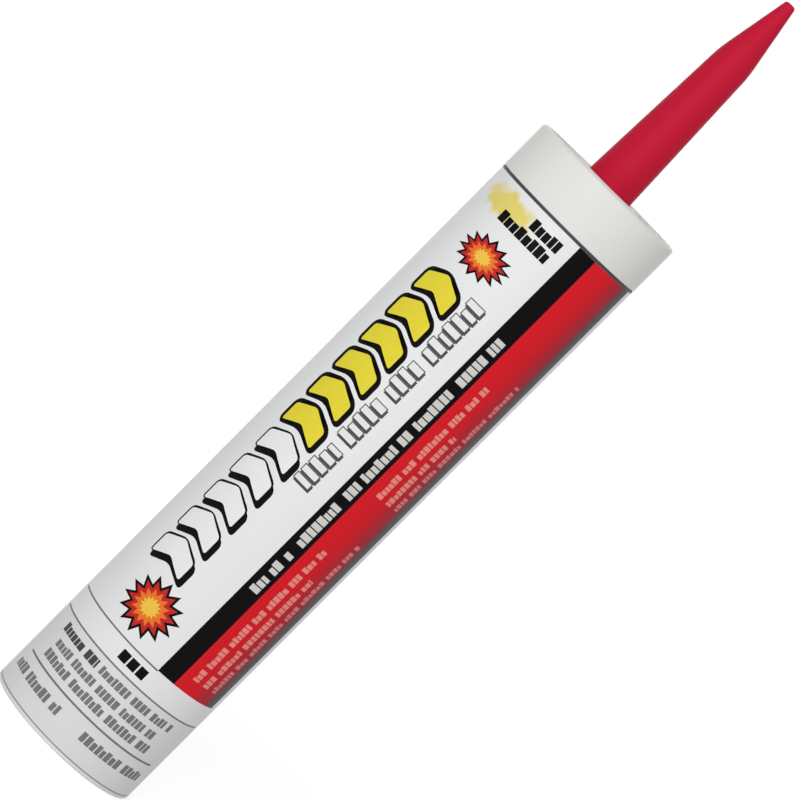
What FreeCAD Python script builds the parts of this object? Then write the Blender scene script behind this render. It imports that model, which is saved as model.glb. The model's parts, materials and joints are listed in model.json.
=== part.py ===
import FreeCAD, Part
import math
import os

# A caulk cartridge standing on its open rear rim, in millimetres.
# +Z runs along the tube towards the nozzle, and the origin is the centre of the rear rim.
# The middle of the printed front faces -Y, and the label's lap seam is at the back, on +Y.

# The cartridge
cartridge_height = 216.0        # rear rim to the front face of the cap
outer_radius = 25.0             # over the label, and over the cap's skirt, which is flush with it

# Label: one layer of film round the barrel, with its ends lapped at the back
label_thickness = 0.1
label_glue_gap = 0.02
label_rear_margin = 1.0         # bare barrel behind the label
label_front_margin = 0.1        # bare barrel between the label and the shoulder under the cap
label_lap_width = 9.0           # measured round the barrel

# Barrel: a straight tube, turned down at the front to carry the cap's skirt
neck_wall = 0.75                # wall of the turned-down front end
mouth_chamfer = 0.6             # lead-in that lets the plunger into the rear mouth
rim_bevel = 0.3

# End cap
cap_skirt_length = 15.8         # front face to the skirt's rear edge
cap_skirt_wall = 0.8
cap_skirt_clearance = 0.05      # radial, skirt over the turned-down end
cap_groove = 0.2                # open groove between the skirt and the barrel's shoulder
cap_plate = 2.4
cap_corner_round = 1.2
cap_rim_width = 2.2             # raised rim round the front face
cap_well_depth = 0.8            # sunk ring between the rim and the hub
cap_hub_margin = 1.0            # hub's edge outside the nozzle's flange
cap_ring_height = 2.0           # locating ring inside the barrel's front end
cap_ring_wall = 1.2
cap_ring_clearance = 0.1        # radial, ring inside the barrel

# Nozzle: pushed through the cap from inside, with its flange let into the plate
nozzle_length = 70.2            # cap's front face to the tip
nozzle_base_radius = 7.65
nozzle_break_height = 48.2      # cap's front face to where the taper steepens
nozzle_break_radius = 5.7
nozzle_tip_radius = 1.65
nozzle_tip_round = 0.9
nozzle_wall = 1.3
nozzle_tip_wall = 0.75
nozzle_tip_plug = 4.0           # solid length at the closed tip
nozzle_flange_radius = 10.4
nozzle_flange_thickness = 1.2
nozzle_hole_clearance = 0.05    # radial, nozzle and flange in the cap

# Inner seal: a foil disc glued under the plate, over the nozzle's inlet
seal_thickness = 0.15
seal_margin = 2.0               # foil beyond the flange

# Plunger: a moulded cup, open to the rear, with a wiping lip at each end
plunger_recess = 22.0           # barrel's rear rim to the plunger's rear rim
plunger_height = 16.0           # rear rim to the front lip's edge
plunger_clearance = 0.06        # radial running clearance of the lips in the barrel
plunger_relief = 0.64           # waist between the lips, under the lips' radius
plunger_wall = 1.4
plunger_floor = 1.5
plunger_rear_lip = 2.0          # height of the rear lip
plunger_lip_bevel = 0.5
plunger_flare = 3.0             # height over which the front lip flares out of the waist
plunger_lip_land = 0.5          # straight edge of the front lip
plunger_lip_edge = 0.35         # thickness of the front lip's edge
plunger_channel_depth = 2.4     # channel between the front lip and the crown
plunger_channel_width = 0.8
plunger_lip_root = 1.5          # thickness of the front lip at the channel's floor
plunger_crown_height = 2.0      # crown above the front lip's edge
plunger_crown_bevel = 0.6
plunger_ledge = 1.0             # step in the cup that a push plate bears on
plunger_ledge_depth = 8.1       # rear rim to the step
plunger_mouth_chamfer = 0.5
plunger_rib_count = 8
plunger_rib_thickness = 1.2
plunger_rib_setback = 0.4       # step to the ribs' rear edges
plunger_hub_radius = 5.2
plunger_hub_wall = 1.2
plunger_end_clearance = 0.3     # gap left in front of the plunger at the end of its travel

# Sealant: fills the barrel from the plunger to the cap
fill_gap = 0.1                  # to the plunger, the cap and the seal
fill_wall_gap = 0.05            # radial, to the barrel

# Straight stretches that stand for the quarter turn of a rounded corner
corner_stretches = 3

# Places and radii that follow from the sizes above
barrel_radius = outer_radius - label_thickness - label_glue_gap
neck_radius = outer_radius - cap_skirt_wall - cap_skirt_clearance
bore_radius = neck_radius - neck_wall
shoulder_z = cartridge_height - cap_skirt_length - cap_groove
plate_z = cartridge_height - cap_plate
ring_z = plate_z - cap_ring_height
ring_outer_radius = bore_radius - cap_ring_clearance
ring_inner_radius = ring_outer_radius - cap_ring_wall
flange_seat_z = plate_z + nozzle_flange_thickness
seal_radius = nozzle_flange_radius + seal_margin
seal_z = plate_z - seal_thickness
lip_radius = bore_radius - plunger_clearance
waist_radius = lip_radius - plunger_relief
cup_radius = waist_radius - plunger_wall
cup_inner_radius = cup_radius - plunger_ledge
ledge_z = plunger_recess + plunger_ledge_depth
front_lip_z = plunger_recess + plunger_height
channel_z = front_lip_z - plunger_channel_depth
channel_outer_radius = lip_radius - plunger_lip_root
crown_radius = channel_outer_radius - plunger_channel_width
crown_z = front_lip_z + plunger_crown_height
cup_floor_z = channel_z - plunger_floor
plunger_travel = min(ring_z - front_lip_z, seal_z - crown_z) - plunger_end_clearance

centre = FreeCAD.Vector(0, 0, 0)
up = FreeCAD.Vector(0, 0, 1)


def rounded_corner(before, corner, after, size):
    """Points on the arc of the given radius that rounds a corner of an outline."""
    back = (before - corner).normalize()
    ahead = (after - corner).normalize()
    half_angle = back.getAngle(ahead) / 2
    start = corner + back * (size / math.tan(half_angle))
    arc_centre = corner + (back + ahead).normalize() * (size / math.sin(half_angle))
    to_start = start - arc_centre
    to_corner = back * -size
    points = []
    for stretch in range(corner_stretches + 1):
        angle = (math.pi - 2 * half_angle) * stretch / corner_stretches
        points.append(arc_centre + to_start * math.cos(angle) + to_corner * math.sin(angle))
    return points


def outline(profile):
    """A closed wire in the XZ plane through (radius, height) corners.
    A corner with a third value is rounded to that radius."""
    corners = [FreeCAD.Vector(corner[0], 0, corner[1]) for corner in profile]
    points = []
    for index, corner in enumerate(corners):
        if len(profile[index]) == 3:
            following = corners[(index + 1) % len(corners)]
            points += rounded_corner(corners[index - 1], corner, following, profile[index][2])
        else:
            points.append(corner)
    return Part.makePolygon(points + [points[0]])


def turned(profile, angle=360):
    """A solid turned about the Z axis from the outline of its section."""
    return Part.Face(outline(profile)).revolve(centre, up, angle)


def make_barrel():
    return turned([
        (bore_radius + mouth_chamfer, 0),
        (barrel_radius - rim_bevel, 0),
        (barrel_radius, rim_bevel),
        (barrel_radius, shoulder_z),
        (neck_radius, shoulder_z),
        (neck_radius, plate_z),
        (bore_radius, plate_z),
        (bore_radius, mouth_chamfer),
    ])


def make_label():
    rear = label_rear_margin
    front = shoulder_z - label_front_margin
    inner = barrel_radius + label_glue_gap
    wrap = turned([(inner, rear), (outer_radius, rear), (outer_radius, front), (inner, front)])
    # the lap is a second layer over a short arc, centred on the back
    lap_angle = math.degrees(label_lap_width / outer_radius)
    lap_outer = outer_radius + label_thickness
    lap = turned([(inner, rear), (lap_outer, rear), (lap_outer, front), (inner, front)], lap_angle)
    lap.rotate(centre, up, 90 - lap_angle / 2)
    return wrap.fuse(lap).removeSplitter()


def make_end_cap():
    skirt_inner = outer_radius - cap_skirt_wall
    skirt_z = cartridge_height - cap_skirt_length
    well_z = cartridge_height - cap_well_depth
    well_outer = outer_radius - cap_rim_width
    hub_radius = nozzle_flange_radius + cap_hub_margin
    hole_radius = nozzle_base_radius + nozzle_hole_clearance
    flange_hole_radius = nozzle_flange_radius + nozzle_hole_clearance
    return turned([
        (skirt_inner, skirt_z),
        (outer_radius, skirt_z),
        (outer_radius, cartridge_height, cap_corner_round),
        (well_outer, cartridge_height),
        (well_outer, well_z),
        (hub_radius, well_z),
        (hub_radius, cartridge_height),
        (hole_radius, cartridge_height),
        (hole_radius, flange_seat_z),
        (flange_hole_radius, flange_seat_z),
        (flange_hole_radius, plate_z),
        (ring_inner_radius, plate_z),
        (ring_inner_radius, ring_z),
        (ring_outer_radius, ring_z),
        (ring_outer_radius, plate_z),
        (skirt_inner, plate_z),
    ])


def make_nozzle():
    tip_z = cartridge_height + nozzle_length
    break_z = cartridge_height + nozzle_break_height
    bore_end_z = tip_z - nozzle_tip_plug
    tip_slope = (nozzle_break_radius - nozzle_tip_radius) / (tip_z - break_z)
    bore_end_radius = nozzle_tip_radius + tip_slope * nozzle_tip_plug - nozzle_tip_wall
    return turned([
        (nozzle_base_radius - nozzle_wall, plate_z),
        (nozzle_flange_radius, plate_z),
        (nozzle_flange_radius, flange_seat_z),
        (nozzle_base_radius, flange_seat_z),
        (nozzle_base_radius, cartridge_height),
        (nozzle_break_radius, break_z),
        (nozzle_tip_radius, tip_z, nozzle_tip_round),
        (0, tip_z),
        (0, bore_end_z),
        (bore_end_radius, bore_end_z),
        (nozzle_break_radius - nozzle_wall, break_z),
        (nozzle_base_radius - nozzle_wall, cartridge_height),
    ])


def make_inner_seal():
    return Part.makeCylinder(seal_radius, seal_thickness, FreeCAD.Vector(0, 0, seal_z))


def plunger_cup():
    flare_z = front_lip_z - plunger_lip_land - plunger_flare
    rear_lip_z = plunger_recess + plunger_rear_lip
    return turned([
        (cup_radius + plunger_mouth_chamfer, plunger_recess),
        (lip_radius - plunger_lip_bevel, plunger_recess),
        (lip_radius, plunger_recess + plunger_lip_bevel),
        (lip_radius, rear_lip_z),
        (waist_radius, rear_lip_z + plunger_relief),
        (waist_radius, flare_z),
        (lip_radius, front_lip_z - plunger_lip_land),
        (lip_radius, front_lip_z),
        (lip_radius - plunger_lip_edge, front_lip_z),
        (channel_outer_radius, channel_z),
        (crown_radius, channel_z),
        (crown_radius, crown_z - plunger_crown_bevel),
        (crown_radius - plunger_crown_bevel, crown_z),
        (0, crown_z),
        (0, cup_floor_z),
        (cup_inner_radius, cup_floor_z),
        (cup_inner_radius, ledge_z),
        (cup_radius, ledge_z),
        (cup_radius, plunger_recess + plunger_mouth_chamfer),
    ])


def plunger_webs():
    """The ribs and the hub ring on the cup's floor, reaching down almost to the step."""
    webs_z = ledge_z + plunger_rib_setback
    height = cup_floor_z - webs_z
    base = FreeCAD.Vector(0, 0, webs_z)
    hub = Part.makeCylinder(plunger_hub_radius, height, base)
    hub_hole = Part.makeCylinder(plunger_hub_radius - plunger_hub_wall, height, base)
    # a rib runs from the middle of the hub's wall to the middle of the step
    rib_start = plunger_hub_radius - plunger_hub_wall / 2
    rib_end = cup_inner_radius + plunger_ledge / 2
    webs = hub.cut(hub_hole)
    for index in range(plunger_rib_count):
        corner = FreeCAD.Vector(rib_start, -plunger_rib_thickness / 2, webs_z)
        rib = Part.makeBox(rib_end - rib_start, plunger_rib_thickness, height, corner)
        rib.rotate(centre, up, index * 360 / plunger_rib_count)
        webs = webs.fuse(rib)
    return webs


def make_plunger():
    return plunger_cup().fuse(plunger_webs()).removeSplitter()


def make_sealant():
    # the rear end follows the plunger's crown and lip, and the front end the cap and its seal
    return turned([
        (0, crown_z + fill_gap),
        (crown_radius + fill_gap, crown_z + fill_gap),
        (crown_radius + fill_gap, front_lip_z + fill_gap),
        (bore_radius - fill_wall_gap, front_lip_z + fill_gap),
        (bore_radius - fill_wall_gap, ring_z - fill_gap),
        (ring_inner_radius - fill_gap, ring_z - fill_gap),
        (ring_inner_radius - fill_gap, plate_z - fill_gap),
        (seal_radius + fill_gap, plate_z - fill_gap),
        (seal_radius + fill_gap, seal_z - fill_gap),
        (0, seal_z - fill_gap),
    ])


pieces = {
    "barrel": make_barrel(),
    "label": make_label(),
    "end_cap": make_end_cap(),
    "nozzle": make_nozzle(),
    "inner_seal": make_inner_seal(),
    "plunger": make_plunger(),
    "sealant": make_sealant(),
}

os.makedirs("parts", exist_ok=True)
for name, piece in pieces.items():
    piece.exportStep("parts/" + name + ".step")
    print(name, "solids", len(piece.Solids), "valid", piece.isValid(), "volume", round(piece.Volume, 1))
print("plunger travel", round(plunger_travel, 3), "fill's front end", round(seal_z - fill_gap, 3))
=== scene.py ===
import json
import math
import random
import bpy
from mathutils import Matrix, Vector

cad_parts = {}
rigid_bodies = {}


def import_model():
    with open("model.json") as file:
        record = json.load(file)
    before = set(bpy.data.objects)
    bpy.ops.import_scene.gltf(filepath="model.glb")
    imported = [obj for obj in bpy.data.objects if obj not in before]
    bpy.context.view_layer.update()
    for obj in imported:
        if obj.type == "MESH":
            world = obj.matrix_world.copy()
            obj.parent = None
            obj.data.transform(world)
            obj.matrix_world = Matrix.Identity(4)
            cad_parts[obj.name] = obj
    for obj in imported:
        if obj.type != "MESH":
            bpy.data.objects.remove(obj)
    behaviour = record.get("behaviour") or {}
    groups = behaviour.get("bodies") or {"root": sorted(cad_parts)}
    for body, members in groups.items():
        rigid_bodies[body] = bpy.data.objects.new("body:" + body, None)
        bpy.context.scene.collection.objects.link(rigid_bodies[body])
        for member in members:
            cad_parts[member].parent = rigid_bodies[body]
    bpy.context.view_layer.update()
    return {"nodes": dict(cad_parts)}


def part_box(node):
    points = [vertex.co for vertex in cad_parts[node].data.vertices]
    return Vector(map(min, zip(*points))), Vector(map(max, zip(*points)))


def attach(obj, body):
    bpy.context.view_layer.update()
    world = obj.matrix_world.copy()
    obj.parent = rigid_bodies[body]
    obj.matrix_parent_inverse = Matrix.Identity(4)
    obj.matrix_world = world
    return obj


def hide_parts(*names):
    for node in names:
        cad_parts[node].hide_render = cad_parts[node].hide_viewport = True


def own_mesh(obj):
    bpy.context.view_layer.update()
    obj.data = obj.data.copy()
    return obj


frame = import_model()
mm = 0.001
tiny = 0.001 * mm               # places closer than this count as one
turnSteps = 256                 # facets round a turned piece
smoothAngle = math.radians(30)  # a sharper edge stays sharp
print("frame loaded:", ", ".join(sorted(frame["nodes"])))

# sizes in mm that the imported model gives
labelLow, labelHigh = [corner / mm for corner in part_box("label")]
capLow, capHigh = [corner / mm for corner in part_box("end_cap")]
nozzleLow, nozzleHigh = [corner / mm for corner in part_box("nozzle")]
fillLow, fillHigh = [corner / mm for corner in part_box("sealant")]
tubeRadius = capHigh.x


# selection and edit mode

def clearSelection():
    if bpy.context.mode != "OBJECT":
        bpy.ops.object.mode_set(mode="OBJECT")
    bpy.ops.object.select_all(action="DESELECT")


def startEditing(selectAll=False):
    bpy.ops.object.mode_set(mode="EDIT")
    bpy.ops.mesh.select_mode(type="VERT")
    bpy.ops.mesh.select_all(action="SELECT" if selectAll else "DESELECT")


def selectWhere(piece, test, faces=False):
    # leaves edit mode on, with only the vertices or faces that pass the test selected
    startEditing()
    bpy.ops.mesh.select_mode(type="FACE" if faces else "VERT")
    bpy.ops.object.mode_set(mode="OBJECT")
    for part in piece.data.polygons if faces else piece.data.vertices:
        part.select = test(part)
    bpy.ops.object.mode_set(mode="EDIT")


def smoothShade(piece):
    clearSelection()
    piece.select_set(True)
    bpy.context.view_layer.objects.active = piece
    bpy.ops.object.shade_smooth_by_angle(angle=smoothAngle)


def turnedPiece(name, corners, rounds=()):
    # a profile of (radius, height) corners in mm, some of them rounded, spun about the tube's axis
    clearSelection()
    bpy.ops.mesh.primitive_circle_add(vertices=len(corners), radius=mm, fill_type="NGON")
    piece = bpy.context.object
    piece.name = name
    for vertex, (radius, height) in zip(piece.data.vertices, corners):
        vertex.co = (radius * mm, 0, height * mm)
    for radius, height, size in rounds:
        corner = Vector((radius * mm, 0, height * mm))
        selectWhere(piece, lambda vertex: (vertex.co - corner).length < tiny)
        bpy.ops.mesh.bevel(offset=size * mm, affect="VERTICES", segments=5)
        bpy.ops.object.mode_set(mode="OBJECT")
    selectWhere(piece, lambda face: True, faces=True)
    bpy.ops.mesh.delete(type="ONLY_FACE")
    bpy.ops.object.mode_set(mode="OBJECT")
    # an edge that lies on the axis would spin into nothing
    selectWhere(piece, lambda vertex: vertex.co.x < tiny)
    bpy.ops.mesh.select_mode(type="EDGE")
    bpy.ops.mesh.delete(type="EDGE")
    bpy.ops.object.mode_set(mode="OBJECT")
    startEditing(selectAll=True)
    bpy.ops.mesh.spin(steps=turnSteps, angle=math.tau, center=(0, 0, 0), axis=(0, 0, 1))
    bpy.ops.mesh.select_all(action="SELECT")
    bpy.ops.mesh.remove_doubles(threshold=tiny)
    bpy.ops.mesh.normals_make_consistent(inside=False)
    smoothShade(piece)
    return piece


# materials

class Field:                    # the output of a node: sums and products of it add Math nodes
    def __init__(self, recipe, socket):
        self.recipe = recipe
        self.socket = socket

    def maths(self, operation, *terms):
        return self.recipe.node("ShaderNodeMath", {"operation": operation}, dict(enumerate(terms)))

    def __add__(self, other):
        return self.maths("ADD", self, other)

    def __radd__(self, other):
        return self.maths("ADD", other, self)

    def __sub__(self, other):
        return self.maths("SUBTRACT", self, other)

    def __rsub__(self, other):
        return self.maths("SUBTRACT", other, self)

    def __mul__(self, other):
        return self.maths("MULTIPLY", self, other)

    def __rmul__(self, other):
        return self.maths("MULTIPLY", other, self)

    def __truediv__(self, other):
        return self.maths("DIVIDE", self, other)

    def __pow__(self, other):
        return self.maths("POWER", self, other)

    def rise(self, low, high):  # 0 below low, 1 above high, and smooth between
        settings = {"interpolation_type": "SMOOTHSTEP"}
        return self.recipe.node("ShaderNodeMapRange", settings, {0: self, 1: low, 2: high})

    def step(self, place, soft):                # the same over a distance of soft each side of a place
        return self.rise(place - soft, place + soft)

    def band(self, low, high, soft):            # 1 between low and high
        return self.step(low, soft) * (1 - self.step(high, soft))


class Recipe:                   # the node tree of a material or of the world
    def __init__(self, tree):
        self.tree = tree

    def node(self, kind, settings=None, inputs=None, output=0):
        made = self.tree.nodes.new(kind)
        for key, value in (settings or {}).items():
            setattr(made, key, value)
        for key, value in (inputs or {}).items():
            self.plug(made.inputs[key], value)
        return Field(self, made.outputs[output])

    def plug(self, socket, value):
        if isinstance(value, Field):
            self.tree.links.new(value.socket, socket)
        else:
            socket.default_value = value

    def place(self):            # x, y and z of the surface point, in metres
        spot = self.node("ShaderNodeTexCoord", output="Object")
        split = self.node("ShaderNodeSeparateXYZ", inputs={0: spot}).socket.node
        return [Field(self, split.outputs[axis]) for axis in range(3)]

    def around(self):           # distance round the tube from the middle of the front, in mm
        x, y = self.place()[:2]
        return x.maths("ARCTAN2", x, y * -1) * tubeRadius

    def noise(self, size, detail, stretch=(1, 1, 1)):
        # size is that of one blotch, in mm
        spot = self.node("ShaderNodeTexCoord", output="Object")
        spot = self.node("ShaderNodeMapping", inputs={"Vector": spot, "Scale": stretch})
        inputs = {"Vector": spot, "Scale": 1 / (size * mm), "Detail": detail}
        return self.node("ShaderNodeTexNoise", inputs=inputs)

    def mix(self, factor, first, second):
        settings = {"data_type": "RGBA"}
        return self.node("ShaderNodeMix", settings, {0: factor, 6: first, 7: second}, output=2)

    def bump(self, height, depth, strength):
        # depth is that of the full height, in mm
        inputs = {"Height": height, "Distance": depth * mm, "Strength": strength}
        return self.node("ShaderNodeBump", inputs=inputs)

    def seen(self):             # 1 for rays that show the background, 0 for those that light
        rays = [self.node("ShaderNodeLightPath", output="Is %s Ray" % kind)
                for kind in ("Camera", "Glossy", "Transmission")]
        return rays[0].maths("MINIMUM", rays[0] + rays[1] + rays[2], 1)


def newFinish(name, specular):
    # a material with the specular level of its Principled shader set; returns its recipe
    material = bpy.data.materials.new(name)
    material.use_nodes = True
    recipe = Recipe(material.node_tree)
    recipe.material = material
    recipe.shader = material.node_tree.nodes["Principled BSDF"]
    recipe.shader.inputs["Specular IOR Level"].default_value = specular
    return recipe


def colour(red, green, blue):   # from screen values of 0 to 255
    def linear(value):
        share = value / 255
        return share / 12.92 if share <= 0.04045 else ((share + 0.055) / 1.055) ** 2.4
    return (linear(red), linear(green), linear(blue), 1)


def giveFinish(piece, recipe):
    piece.data.materials.clear()
    piece.data.materials.append(recipe.material)


# the wrap: one layer of film round the barrel, with a lap at the back

wrap = {
    "depth": 0.08,              # how far the film's face lies under the cap's skirt
    "film": 0.03,
    "lapHalfAngle": 10.3,       # degrees each side of the back
    "lapRise": 0.13,
    "tone": colour(233, 233, 232),
    "otherTone": colour(228, 229, 230),
    "footTone": colour(221, 222, 222),      # the film is greyer at the rear end, below footLine
    "footLine": 28.7,
    "footSoft": 0.2,
    "frontLine": 199.3,         # a dark line goes all round from here to the cap: a printed edge, darkened as painted shade of the cap's edge
    "rearShadeLine": (1.15, 1.5),    # and a thin grey one near the rear rim, painted shade of the film's rear edge
    "lineTone": colour(70, 67, 68),
    "rearShadeTone": colour(136, 136, 138),
    "lineSoft": 0.05,
    "patchTone": colour(226, 208, 92),      # a soft yellow patch near the cap
    "patchAt": (-18.3, 193.2),
    "patchReach": (11.8, 5.0),
    "patchEdge": (0.55, 1.05),  # shares of its reach between which it fades out
    "patchRagged": 1.1,
    "patchStrength": 0.92,
    "specular": 0.18,
    "rough": 0.4,
}
wrapRadius = tubeRadius - wrap["depth"]


def makeWrap():
    outer = wrapRadius
    inner = outer - wrap["film"]
    rear, front = labelLow.z, labelHigh.z
    piece = turnedPiece("wrap", [(inner, rear), (outer, rear), (outer, front), (inner, front)])

    def isLap(face):
        spot = face.center
        outside = math.hypot(spot.x, spot.y) > (outer - wrap["film"] / 2) * mm
        angle = math.degrees(math.atan2(spot.x, spot.y))
        return outside and abs(angle) < wrap["lapHalfAngle"] and abs(face.normal.z) < 0.5

    selectWhere(piece, isLap, faces=True)
    bpy.ops.mesh.extrude_region_shrink_fatten(
        TRANSFORM_OT_shrink_fatten={"value": wrap["lapRise"] * mm})
    smoothShade(piece)
    return piece


def addRipple(recipe):          # the slack of a thin film, and its fine grain
    ripple = recipe.noise(14, 1, stretch=(1, 1, 0.35)) + recipe.noise(0.9, 2) * 0.05
    recipe.plug(recipe.shader.inputs["Normal"], recipe.bump(ripple, 0.05, 0.5))


def filmFinish():
    recipe = newFinish("whiteFilm", wrap["specular"])
    height = recipe.place()[2] / mm
    tone = recipe.mix(recipe.noise(45, 3), wrap["tone"], wrap["otherTone"])
    foot = 1 - height.step(wrap["footLine"], wrap["footSoft"])
    tone = recipe.mix(foot, tone, wrap["footTone"])
    across = (recipe.around() - wrap["patchAt"][0]) / wrap["patchReach"][0]
    along = (height - wrap["patchAt"][1]) / wrap["patchReach"][1]
    ragged = (recipe.noise(3.5, 4) - 0.5) * wrap["patchRagged"]
    reach = (across * across + along * along) ** 0.5 + ragged
    patch = 1 - reach.rise(*wrap["patchEdge"])
    tone = recipe.mix(patch * wrap["patchStrength"], tone, wrap["patchTone"])
    # painted shade: a thin grey line along the film's rear edge
    rearShadeLine = height.band(*wrap["rearShadeLine"], wrap["lineSoft"])
    tone = recipe.mix(rearShadeLine, tone, wrap["rearShadeTone"])
    # a printed dark edge up to the cap, which also carries painted shade of the cap's edge
    frontLine = height.step(wrap["frontLine"], wrap["lineSoft"])
    tone = recipe.mix(frontLine, tone, wrap["lineTone"])
    recipe.plug(recipe.shader.inputs["Base Color"], tone)
    recipe.plug(recipe.shader.inputs["Roughness"], wrap["rough"] + recipe.noise(9, 4) * 0.12)
    addRipple(recipe)
    return recipe


wrapPiece = makeWrap()
giveFinish(wrapPiece, filmFinish())
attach(wrapPiece, "cartridge")
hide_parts("label")
print("wrap made")


# the print: flat shapes drawn in the XZ plane, x round the tube from the front and z up it,
# which are then sliced, given the ink's thickness and bent round the wrap

ink = {
    "thickness": 0.008,
    "firstLayer": 0.014,        # height of the first layer's middle above the film
    "layerPitch": 0.018,
    "slice": 0.8,               # width of the strips that follow the curve
    "rough": 0.4,
}
# small print without lettering: rows of blocks, with lengths as shares of the row's height
smallPrint = {
    "widths": (0.75, 1.25),     # least and most of a block's usual width
    "heights": (1, 1, 0.82),
    "narrowest": 0.2,
    "wordGap": 0.45,
    "leftover": 0.4,            # a row ends when less than this is free
}
quarterTurn = (math.pi / 2, 0, 0)


def startPrint(name):
    clearSelection()
    bpy.ops.object.add(type="MESH", enter_editmode=True, location=(0, 0, 0))
    piece = bpy.context.object
    piece.name = name
    bpy.ops.mesh.select_mode(type="VERT")
    return piece


def addBlock(left, right, low, high):
    middle = ((left + right) / 2 * mm, 0, (low + high) / 2 * mm)
    bpy.ops.mesh.primitive_plane_add(size=mm, location=middle, rotation=quarterTurn)
    bpy.ops.transform.resize(value=(right - left, 1, high - low), center_override=middle)


def addRow(row, dice, letter=0.55, gap=0.18, word=(3, 8), upTube=False, grow=0, drop=0):
    # row is (start, end, foot, height), letter and gap are shares of its height, and word is the least
    # and most blocks to a word. For the shadow of a row that runs up the tube, grow widens each block
    # on all sides and drop shifts it
    start, end, foot, height = row
    foot += drop
    spot = start
    while spot < end - smallPrint["leftover"] * height:
        for count in range(dice.randint(*word)):
            width = min(height * letter * dice.uniform(*smallPrint["widths"]), end - spot)
            rise = height * dice.choice(smallPrint["heights"])
            if width < smallPrint["narrowest"] * height:
                break
            if upTube:
                addBlock(foot - rise - grow, foot + grow, spot - drop - grow, spot - drop + width + grow)
            else:
                addBlock(spot - grow, spot + width + grow, foot - grow, foot + rise + grow)
            spot += width + height * gap
        spot += height * smallPrint["wordGap"]


def selectNewVertices(piece, test):
    # of the shape added last, which is still selected, keeps the vertices that pass the test
    bpy.ops.object.mode_set(mode="OBJECT")
    made = [vertex for vertex in piece.data.vertices if vertex.select]
    for part in (piece.data.edges, piece.data.polygons):
        part.foreach_set("select", [False] * len(part))
    for vertex in made:
        vertex.select = test(vertex.co)
    bpy.ops.object.mode_set(mode="EDIT")


def addStar(piece, middle, radius, points, pinch, stretch):
    # pinch is the share of the radius at the star's inner corners
    centre = (middle[0] * mm, 0, middle[1] * mm)
    bpy.ops.mesh.primitive_circle_add(vertices=2 * points, radius=radius * mm, fill_type="NGON",
                                      location=centre, rotation=quarterTurn)

    def isInner(place):
        angle = math.atan2(place.x - centre[0], place.z - centre[2])
        return round(angle * points / math.pi) % 2 == 1

    selectNewVertices(piece, isInner)
    bpy.ops.transform.resize(value=(pinch, 1, pinch), center_override=centre)
    bpy.ops.mesh.select_linked()
    bpy.ops.transform.resize(value=(stretch, 1, 1), center_override=centre)
    bpy.ops.mesh.select_all(action="DESELECT")


def addChevron(piece, middle, halfWidth, thickness, apex, corner):
    # a bar across the tube with its middle pushed up by apex, and its corners rounded
    centre = (middle[0] * mm, 0, middle[1] * mm)
    bpy.ops.mesh.primitive_grid_add(x_subdivisions=2, y_subdivisions=1, size=mm,
                                    location=centre, rotation=quarterTurn)
    bpy.ops.transform.resize(value=(2 * halfWidth, 1, thickness), center_override=centre)
    selectNewVertices(piece, lambda place: abs(place.x - centre[0]) < 0.1 * mm)
    bpy.ops.transform.translate(value=(0, 0, apex * mm))
    bpy.ops.mesh.select_linked()
    bpy.ops.mesh.dissolve_faces(use_verts=False)
    bpy.ops.mesh.bevel(offset=corner * mm, affect="VERTICES", segments=3)
    bpy.ops.mesh.select_all(action="DESELECT")


def finishPrint(piece, layer, recipe):
    startEditing(selectAll=True)
    bpy.ops.mesh.quads_convert_to_tris(ngon_method="BEAUTY")
    bpy.ops.object.mode_set(mode="OBJECT")
    sides = [vertex.co.x / mm for vertex in piece.data.vertices]
    startEditing()
    strip = math.ceil(min(sides) / ink["slice"])
    while strip * ink["slice"] < max(sides):
        bpy.ops.mesh.select_all(action="SELECT")
        spot = (strip * ink["slice"] * mm, 0, 0)
        bpy.ops.mesh.bisect(plane_co=spot, plane_no=(1, 0, 0))
        strip += 1
    bpy.ops.mesh.select_all(action="SELECT")
    height = ink["firstLayer"] + layer * ink["layerPitch"]
    bpy.ops.transform.translate(value=(0, -height * mm, 0))
    bpy.ops.object.mode_set(mode="OBJECT")
    body = piece.modifiers.new("thickness", "SOLIDIFY")
    body.thickness = ink["thickness"] * mm
    body.offset = 0
    bend = piece.modifiers.new("bend", "SIMPLE_DEFORM")
    bend.deform_method = "BEND"
    bend.deform_axis = "Z"
    bend.angle = (max(sides) - min(sides)) / wrapRadius
    for modifier in ("thickness", "bend"):
        bpy.ops.object.modifier_apply(modifier=modifier)
    startEditing(selectAll=True)
    bpy.ops.transform.translate(value=(0, -wrapRadius * mm, 0))
    bpy.ops.mesh.normals_make_consistent(inside=False)
    smoothShade(piece)
    giveFinish(piece, recipe)
    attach(piece, "cartridge")
    print(piece.name, "printed:", len(piece.data.polygons), "faces")


def inkFinish(name, first, second, specular=0.12, paintedShade=None):
    # the last argument, if given, is (start, end, tone): painted shade, as the ink turns to that tone
    # between two places round the tube
    recipe = newFinish(name, specular)
    tone = recipe.mix(recipe.noise(2.5, 4), first, second)
    if paintedShade:
        start, end, shadedTone = paintedShade
        # painted shade: the ink is darkened towards the side of the tube
        tone = recipe.mix(recipe.around().rise(start, end), tone, shadedTone)
    recipe.plug(recipe.shader.inputs["Base Color"], tone)
    recipe.plug(recipe.shader.inputs["Roughness"], ink["rough"] + recipe.noise(7, 4) * 0.12)
    addRipple(recipe)
    return recipe


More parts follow.
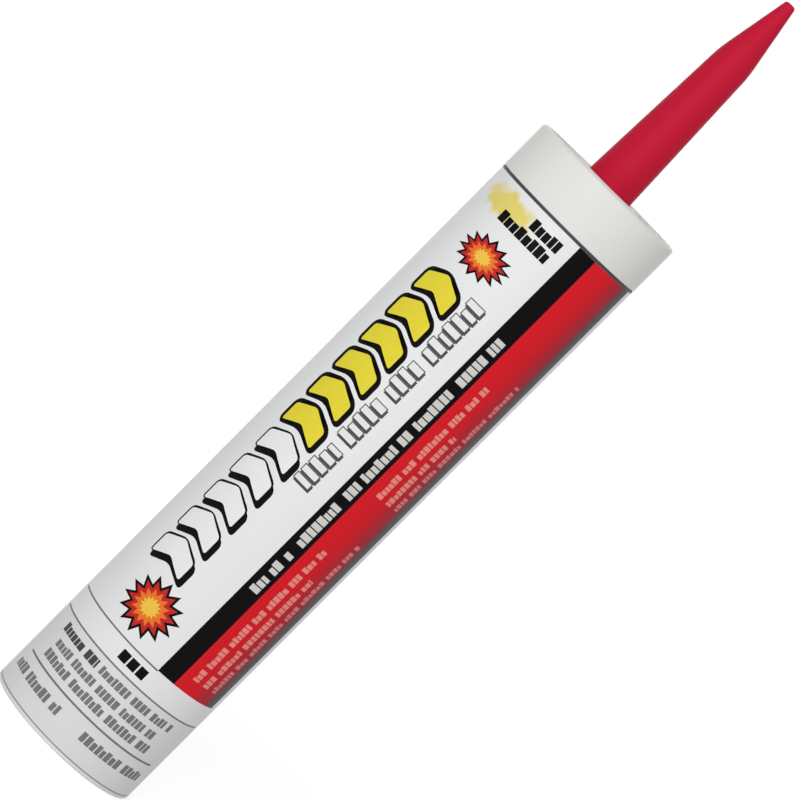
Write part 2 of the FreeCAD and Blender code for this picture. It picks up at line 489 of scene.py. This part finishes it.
# where the print lies, in mm round the tube from the front and up it
artwork = {
    "bandFoot": 36.1,
    "blackBand": (6.0, 12.1),
    "redBand": (12.1, 27.6),
    "sideStripe": (27.6, 31.9),
    "swatches": [(-4.7, -1.8), (-1.3, 1.5), (2.0, 4.7)],
    "swatchEnds": (30.8, 34.0),
    "chevronMiddle": -14.6,
    "chevronStart": 60.5,
    "chevronPitch": 10.2,
    "chevronCount": 11,
    "whiteChevrons": 5,
    "chevronHalfWidth": 6.9,
    "chevronThickness": 6.2,
    "chevronApex": 3.2,
    "chevronRound": 0.9,
    "whiteOutline": (0.6, (1.3, -1.2)),     # width of the dark edge, and how far its shadow drops
    "yellowOutline": (1.2, (0.4, -0.4)),
    "starPoints": 14,
    "starPinch": 0.68,
    "stars": [((-7.9, 46.8), 9.0, 1.12), ((-11.3, 178.6), 6.4, 1.55)],      # middle, radius, stretch
    # rows are (start, end, foot, height), and the pale, white and pink ones run up the tube
    "paleRow": (100.5, 171, -0.1, 5.1),
    "paleEdge": 0.3,
    "paleDrops": (0, 0.5),      # the dark edge is printed once in place and once as a shadow
    "blackRows": [(-8, 2.4, 193.2, 3.4), (-17, 2.2, 188.9, 3.4)],
    "whiteSpans": [(149.6, 166.5), (133, 148.1), (112.9, 131.5), (106.1, 111.2), (87.8, 104.4),
                   (82.8, 85.3), (69.9, 80.7)],
    "whiteFoot": 10.7,
    "whiteHeight": 3.1,
    "pinkRows": [
        (111.9, 154.6, 17.6, 2.3), (111.9, 138.1, 22.0, 2.3), (111.9, 160.2, 26.2, 2.2),
        (40.5, 91.8, 17.6, 2.3), (40.5, 82.3, 22.0, 2.3), (40.5, 98.3, 26.2, 2.2),
    ],
    "greyRows": [
        (-5.5, 23.5, 24.0, 2.6), (-22, 20.5, 19.6, 2.6), (-22.5, 22.5, 15.3, 2.8),
        (-30, -5.4, 7.0, 3.0), (3.6, 30, 7.0, 3.0),
    ],
    "boldRow": (-24.3, -7, 23.9, 2.8),
    # left, right, low, high: a column's low and high are those of its rows' feet
    "greyLines": [(-34, 6, 35.7, 36.2), (-34, 34, 28.45, 28.95), (-28.5, 29.5, 12.8, 13.4)],
    "backColumns": [(-70, -42, 60, 180), (42, 70, 60, 180)],
    "backHeight": 1.9,
    "backPitch": 3.1,
    "backBreak": 6.2,           # pitch where a paragraph ends
    "backUsual": 0.85,          # share of the rows that have the usual pitch
    "backRagged": 9,
}

# two tones of each ink, mixed by a fine mottle
inkTones = {
    "black": (colour(8, 7, 7), colour(14, 13, 13)),
    "red": (colour(220, 30, 41), colour(212, 28, 40)),
    "grey": (colour(128, 128, 130), colour(110, 110, 112)),
    "bold": (colour(78, 74, 76), colour(66, 62, 64)),
    "rowEdge": (colour(86, 86, 88), colour(68, 68, 70)),
    "rowFace": (colour(232, 232, 232), colour(224, 224, 226)),
    "starRed": (colour(198, 42, 36), colour(186, 34, 34)),
    "starOrange": (colour(236, 128, 44), colour(226, 104, 38)),
    "starYellow": (colour(242, 200, 78), colour(238, 186, 66)),
    "whiteChevrons": (colour(238, 238, 238), colour(230, 231, 233)),
    "yellowChevrons": (colour(232, 218, 66), colour(224, 206, 52)),
    "printWhite": (colour(214, 214, 210), colour(202, 202, 200)),
    "printPink": (colour(240, 150, 142), colour(228, 134, 128)),
}
# painted shade: the red and pink print are darkened towards their outer edge, where the tube turns from
# the light; start and end in mm round the tube, and the tone
redPaintedShade = (17.5, 29.5, colour(146, 42, 54))
pinkPaintedShade = (20, 30, colour(190, 112, 116))


def chevronPlaces():
    for number in range(artwork["chevronCount"]):
        height = artwork["chevronStart"] + number * artwork["chevronPitch"]
        yield number, (artwork["chevronMiddle"], height)


def blackInk(name):
    return inkFinish(name, *inkTones["black"], specular=0.05)


def printBlack():
    piece = startPrint("printBlack")
    dice = random.Random(3)
    addBlock(*artwork["blackBand"], artwork["bandFoot"], wrap["frontLine"])
    for left, right in artwork["swatches"]:
        addBlock(left, right, *artwork["swatchEnds"])
    for row in artwork["blackRows"]:
        addRow(row, dice, letter=0.6, gap=0.08, word=(20, 20))
    for middle, radius, stretch in artwork["stars"]:
        addStar(piece, middle, radius, artwork["starPoints"], artwork["starPinch"], stretch)
    finishPrint(piece, 0, blackInk("blackInk"))


def printOutlines():
    # the chevrons' dark edges, with their dropped shadow in the same ink
    piece = startPrint("printOutlines")
    for number, middle in chevronPlaces():
        yellow = number >= artwork["whiteChevrons"]
        edge, shadow = artwork["yellowOutline" if yellow else "whiteOutline"]
        for shiftX, shiftZ in ((0, 0), shadow):
            addChevron(piece, (middle[0] + shiftX, middle[1] + shiftZ),
                       artwork["chevronHalfWidth"] + edge,
                       artwork["chevronThickness"] + 2 * edge, artwork["chevronApex"],
                       artwork["chevronRound"] + edge)
    finishPrint(piece, 0, blackInk("outlineInk"))


def printPaleRow():
    # a row of pale blocks with a dark edge, along the chevrons
    layers = [("rowEdge", artwork["paleEdge"], artwork["paleDrops"]), ("rowFace", 0, (0,))]
    for layer, (name, grow, drops) in enumerate(layers):
        piece = startPrint(name)
        for drop in drops:
            addRow(artwork["paleRow"], random.Random(21), letter=0.34, gap=0.22, word=(4, 7),
                   upTube=True, grow=grow, drop=drop)
        finishPrint(piece, layer, inkFinish(name + "Ink", *inkTones[name]))


def printRed():
    piece = startPrint("printRed")
    addBlock(*artwork["redBand"], artwork["bandFoot"], wrap["frontLine"])
    finishPrint(piece, 0, inkFinish("redInk", *inkTones["red"], specular=0.08, paintedShade=redPaintedShade))


def printStars():
    # smaller stars on the black ones, with their share of the radius
    layers = [("starRed", 0.82), ("starOrange", 0.58), ("starYellow", 0.34)]
    for layer, (name, share) in enumerate(layers, start=1):
        piece = startPrint(name)
        for middle, radius, stretch in artwork["stars"]:
            addStar(piece, middle, radius * share, artwork["starPoints"], artwork["starPinch"], stretch)
        finishPrint(piece, layer, inkFinish(name + "Ink", *inkTones[name]))


def printChevrons():
    for name, yellow in (("whiteChevrons", False), ("yellowChevrons", True)):
        piece = startPrint(name)
        for number, middle in chevronPlaces():
            if (number >= artwork["whiteChevrons"]) == yellow:
                addChevron(piece, middle, artwork["chevronHalfWidth"], artwork["chevronThickness"],
                           artwork["chevronApex"], artwork["chevronRound"])
        finishPrint(piece, 1, inkFinish(name + "Ink", *inkTones[name]))


def printGrey():
    piece = startPrint("printGrey")
    dice = random.Random(5)
    for line in artwork["greyLines"]:
        addBlock(*line)
    for row in artwork["greyRows"]:
        addRow(row, dice, letter=0.5, gap=0.12)
    for left, right, low, high in artwork["backColumns"]:
        foot = low
        while foot < high:
            end = right - dice.uniform(0, artwork["backRagged"])
            addRow((left, end, foot, artwork["backHeight"]), dice)
            usual = dice.random() < artwork["backUsual"]
            foot += artwork["backPitch"] if usual else artwork["backBreak"]
    finishPrint(piece, 0, inkFinish("greyInk", *inkTones["grey"]))


def printBold():
    piece = startPrint("printBold")
    dice = random.Random(9)
    addRow(artwork["boldRow"], dice, letter=0.6, gap=0.1)
    addBlock(*artwork["sideStripe"], artwork["bandFoot"], wrap["frontLine"])
    finishPrint(piece, 0, inkFinish("boldInk", *inkTones["bold"]))


def printBandRows():
    # white rows on the black band and pink ones on the red band
    whiteRows = [(start, end, artwork["whiteFoot"], artwork["whiteHeight"])
                 for start, end in artwork["whiteSpans"]]
    layers = [("printWhite", whiteRows, None, 7), ("printPink", artwork["pinkRows"], pinkPaintedShade, 11)]
    for name, rows, paintedShade, seed in layers:
        piece = startPrint(name)
        dice = random.Random(seed)
        for row in rows:
            addRow(row, dice, letter=0.5, gap=0.12, upTube=True)
        finishPrint(piece, 1, inkFinish(name + "Ink", *inkTones[name], paintedShade=paintedShade))


printBlack()
printOutlines()
printPaleRow()
printRed()
printStars()
printChevrons()
printGrey()
printBold()
printBandRows()


# the end cap

cap = {
    "skirtWall": 0.8,
    "cornerRound": 1.2,
    "edgeRound": 0.25,
    "rimWidth": 2.2,
    "wellDepth": 0.8,
    "wellRound": 0.35,
    "hubRadius": 11.4,
    "hole": 7.7,
    "pocket": 10.45,
    "seat": 1.2,                # plate's underside to the flange's seat
    "ringInner": 22.1,
    "ringOuter": 23.3,
    "ringHeight": 2.0,
    "tone": colour(228, 228, 224),
    "otherTone": colour(222, 223, 220),
    "specular": 0.18,
    "rough": 0.45,
}


def makeCap():
    outer = capHigh.x
    inner = outer - cap["skirtWall"]
    rear, front = capLow.z, capHigh.z
    plate = nozzleLow.z
    well = front - cap["wellDepth"]
    rim = outer - cap["rimWidth"]
    hub = cap["hubRadius"]
    hole = cap["hole"]
    seat = plate + cap["seat"]
    ring = plate - cap["ringHeight"]
    corners = [
        (inner, rear), (outer, rear), (outer, front), (rim, front), (rim, well), (hub, well),
        (hub, front), (hole, front), (hole, seat), (cap["pocket"], seat), (cap["pocket"], plate),
        (cap["ringInner"], plate), (cap["ringInner"], ring), (cap["ringOuter"], ring),
        (cap["ringOuter"], plate), (inner, plate),
    ]
    rounds = [
        (outer, rear, cap["edgeRound"]), (outer, front, cap["cornerRound"]),
        (rim, front, cap["wellRound"]), (rim, well, cap["wellRound"]),
        (hub, well, cap["wellRound"]), (hub, front, cap["wellRound"]),
        (hole, front, cap["edgeRound"]),
    ]
    return turnedPiece("cap", corners, rounds)


def mouldedFinish(name, look):
    # moulded polyethylene: a fine eroded skin, faint flow tone and a few rubbed spots
    recipe = newFinish(name, look["specular"])
    flow = recipe.noise(18, 3, stretch=(1, 1, 0.4))
    recipe.plug(recipe.shader.inputs["Base Color"], recipe.mix(flow, look["tone"], look["otherTone"]))
    rubbed = recipe.noise(6, 5).rise(0.58, 0.75)
    rough = look["rough"] + recipe.noise(3, 3) * 0.1 - rubbed * 0.12
    recipe.plug(recipe.shader.inputs["Roughness"], rough)
    skin = recipe.noise(0.5, 3) + recipe.noise(7, 2) * 0.6
    recipe.plug(recipe.shader.inputs["Normal"], recipe.bump(skin, 0.02, 0.6))
    return recipe


capPiece = makeCap()
giveFinish(capPiece, mouldedFinish("capPlastic", cap))
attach(capPiece, "cartridge")
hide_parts("end_cap")
print("cap made")


# the nozzle

nozzle = {
    "baseRadius": 7.65,
    "breakHeight": 48.2,        # above the cap's face
    "breakRadius": 5.7,
    "breakRound": 2.5,          # length of the soft change of taper, each side of it
    "tipRadius": 1.65,
    "tipRound": 0.75,
    "wall": 1.3,
    "tipWall": 0.75,
    "tipPlug": 4.0,
    "flange": 1.2,
    "tone": colour(200, 28, 57),
    "otherTone": colour(190, 26, 55),
    "specular": 0.05,
    "rough": 0.48,
}


def makeNozzle():
    face = capHigh.z
    tip = nozzleHigh.z
    rear = nozzleLow.z
    turn = face + nozzle["breakHeight"]
    flangeTop = rear + nozzle["flange"]
    bore = nozzle["baseRadius"] - nozzle["wall"]
    boreEnd = tip - nozzle["tipPlug"]
    slope = (nozzle["breakRadius"] - nozzle["tipRadius"]) / (tip - turn)
    boreTip = nozzle["tipRadius"] + slope * nozzle["tipPlug"] - nozzle["tipWall"]
    corners = [
        (bore, rear), (nozzleHigh.x, rear), (nozzleHigh.x, flangeTop),
        (nozzle["baseRadius"], flangeTop), (nozzle["baseRadius"], face),
        (nozzle["breakRadius"], turn), (nozzle["tipRadius"], tip), (0, tip), (0, boreEnd),
        (boreTip, boreEnd), (nozzle["breakRadius"] - nozzle["wall"], turn), (bore, face),
    ]
    rounds = [
        (nozzle["breakRadius"], turn, nozzle["breakRound"]),
        (nozzle["tipRadius"], tip, nozzle["tipRound"]),
    ]
    return turnedPiece("spout", corners, rounds)


nozzlePiece = makeNozzle()
giveFinish(nozzlePiece, mouldedFinish("crimsonPlastic", nozzle))
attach(nozzlePiece, "cartridge")
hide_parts("nozzle")
print("nozzle made")


# the sealant

fill = {
    "crownRadius": 21.14,
    "crownRise": 2.0,
    "ringInner": 22.0,
    "ringRise": 2.0,
    "sealRadius": 12.5,
    "sealDepth": 0.15,
    "round": 0.3,
    "keep": 0.0018,             # share of its length that is left at the end of the plunger's travel
    "tone": colour(168, 62, 52),
    "otherTone": colour(150, 50, 44),
}


def makeFill():
    low, high, outer = fillLow.z, fillHigh.z, fillHigh.x
    crown = low + fill["crownRise"]
    ring = high - fill["ringRise"]
    seal = high - fill["sealDepth"]
    corners = [
        (0, crown), (fill["crownRadius"], crown), (fill["crownRadius"], low), (outer, low),
        (outer, ring), (fill["ringInner"], ring), (fill["ringInner"], high),
        (fill["sealRadius"], high), (fill["sealRadius"], seal), (0, seal),
    ]
    return turnedPiece("paste", corners, [(outer, low, fill["round"]), (outer, ring, fill["round"])])


def pasteFinish():
    recipe = newFinish("redPaste", specular=0.4)
    recipe.plug(recipe.shader.inputs["Base Color"],
                recipe.mix(recipe.noise(8, 4), fill["tone"], fill["otherTone"]))
    recipe.plug(recipe.shader.inputs["Roughness"], 0.32 + recipe.noise(3, 3) * 0.2)
    recipe.plug(recipe.shader.inputs["Normal"], recipe.bump(recipe.noise(4, 4), 0.2, 0.6))
    return recipe


fillPiece = makeFill()
giveFinish(fillPiece, pasteFinish())
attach(fillPiece, "cartridge")
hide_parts("sealant")
(fillHigh.z - fill["sealDepth"]) * mm
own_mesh(fillPiece)
print("sealant made")


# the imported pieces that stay: barrel, plunger and seal

barrel = {
    "tone": colour(229, 229, 227),
    "otherTone": colour(222, 223, 222),
    "specular": 0.25,
    "rough": 0.42,
    "grooveShadeTone": colour(64, 62, 62),       # painted shade, with some dust, in the groove under the cap
    "grooveBehind": 0.32,       # from the skirt's edge to where it starts, and to where it ends
    "grooveAhead": 0.5,
    "grooveSoft": 0.03,
}
plunger = {
    "tone": colour(236, 236, 232),
    "otherTone": colour(228, 229, 226),
    "specular": 0.3,
    "rough": 0.38,
}
foil = {
    "tone": colour(214, 214, 218),
    "otherTone": colour(196, 197, 202),
}


def barrelFinish():
    recipe = mouldedFinish("barrelPlastic", barrel)
    low = (capLow.z - barrel["grooveBehind"]) * mm
    high = (capLow.z + barrel["grooveAhead"]) * mm
    groove = recipe.place()[2].band(low, high, barrel["grooveSoft"] * mm)
    socket = recipe.shader.inputs["Base Color"]
    plain = Field(recipe, socket.links[0].from_socket)
    # painted shade: the barrel's colour is darkened in the groove under the cap, with a little mottle
    grooveShadeAndDust = groove * (0.8 + recipe.noise(3, 3) * 0.25)
    recipe.plug(socket, recipe.mix(grooveShadeAndDust, plain, barrel["grooveShadeTone"]))
    return recipe


def foilFinish():
    recipe = newFinish("foil", specular=0.5)
    recipe.shader.inputs["Metallic"].default_value = 1
    recipe.plug(recipe.shader.inputs["Base Color"],
                recipe.mix(recipe.noise(2, 3), foil["tone"], foil["otherTone"]))
    recipe.plug(recipe.shader.inputs["Roughness"], 0.28 + recipe.noise(1.5, 3) * 0.15)
    recipe.plug(recipe.shader.inputs["Normal"], recipe.bump(recipe.noise(1.2, 4), 0.08, 0.5))
    return recipe


finishes = {
    "barrel": barrelFinish(),
    "plunger": mouldedFinish("plungerPlastic", plunger),
    "inner_seal": foilFinish(),
}
for node, recipe in finishes.items():
    frame["nodes"][node].material_slots[0].material = recipe.material
print("packed pieces finished")


# floor, light and camera

stage = {
    "floorSize": 6.0,
    "floorTone": (0.8, 0.8, 0.8, 1),
    "seenTone": (0.6, 0.6, 0.6, 1),
    "nearGlow": (0.61, 0.61, 0.61, 1),      # leaves the tube's own shadow on the floor
    "farGlow": (0.76, 0.76, 0.76, 1),
    "glowReach": (0.2, 0.6),    # metres from the tube over which one turns into the other
    "ambient": 0.455,
    "aim": (0, 0, 0.13),
    "lights": [                 # name, place, size and power
        ("key", (-0.17, -1.2, 0.5), 0.8, 8.4),
        ("backLight", (0, 1.3, 0.55), 1.8, 7),
    ],
}


def makeFloor():
    clearSelection()
    bpy.ops.mesh.primitive_plane_add(size=stage["floorSize"])
    floor = bpy.context.object
    floor.name = "floor"
    recipe = newFinish("paleFloor", specular=0)
    seen = recipe.seen()
    recipe.plug(recipe.shader.inputs["Base Color"],
                recipe.mix(seen, stage["floorTone"], stage["seenTone"]))
    x, y = recipe.place()[:2]
    away = ((x * x + y * y) ** 0.5).rise(*stage["glowReach"])
    glow = recipe.mix(away, stage["nearGlow"], stage["farGlow"])
    recipe.plug(recipe.shader.inputs["Emission Color"], recipe.mix(seen, (0, 0, 0, 1), glow))
    recipe.shader.inputs["Emission Strength"].default_value = 1
    recipe.shader.inputs["Roughness"].default_value = 0.9
    giveFinish(floor, recipe)


def makeWorld():
    world = bpy.data.worlds.new("studio")
    bpy.context.scene.world = world
    world.use_nodes = True
    recipe = Recipe(world.node_tree)
    shade = (stage["ambient"], stage["ambient"], stage["ambient"], 1)
    background = world.node_tree.nodes["Background"]
    recipe.plug(background.inputs["Color"], recipe.mix(recipe.seen(), shade, (1, 1, 1, 1)))
    background.inputs["Strength"].default_value = 1


def makeLights():
    for name, place, size, power in stage["lights"]:
        clearSelection()
        bpy.ops.object.light_add(type="AREA", location=place)
        lamp = bpy.context.object
        lamp.name = name
        lamp.data.size = size
        lamp.data.energy = power
        toward = Vector(stage["aim"]) - Vector(place)
        lamp.rotation_euler = toward.to_track_quat("-Z", "Y").to_euler()


view = {
    "place": (0.00055, -1.18239, 0.24098),
    "down": 5.2006,             # degrees below level
    "roll": 44.926,             # degrees, which lays the upright cartridge across the picture
    "lens": 192.93,
    "sensor": 36,
}


def makeCamera():
    clearSelection()
    bpy.ops.object.camera_add(location=view["place"])
    camera = bpy.context.object
    down = math.radians(view["down"])
    roll = math.radians(view["roll"])
    forward = Vector((0, math.cos(down), -math.sin(down)))
    right = Vector((1, 0, 0))
    up = Vector((0, math.sin(down), math.cos(down)))
    across = right * math.cos(roll) + up * math.sin(roll)
    above = up * math.cos(roll) - right * math.sin(roll)
    turn = Matrix((across, above, -forward)).transposed()
    camera.rotation_euler = turn.to_euler()
    camera.data.sensor_width = view["sensor"]
    camera.data.lens = view["lens"]
    bpy.context.scene.camera = camera


makeFloor()
makeWorld()
makeLights()
makeCamera()
bpy.context.scene.view_settings.view_transform = "Standard"
print("floor, light and camera set")
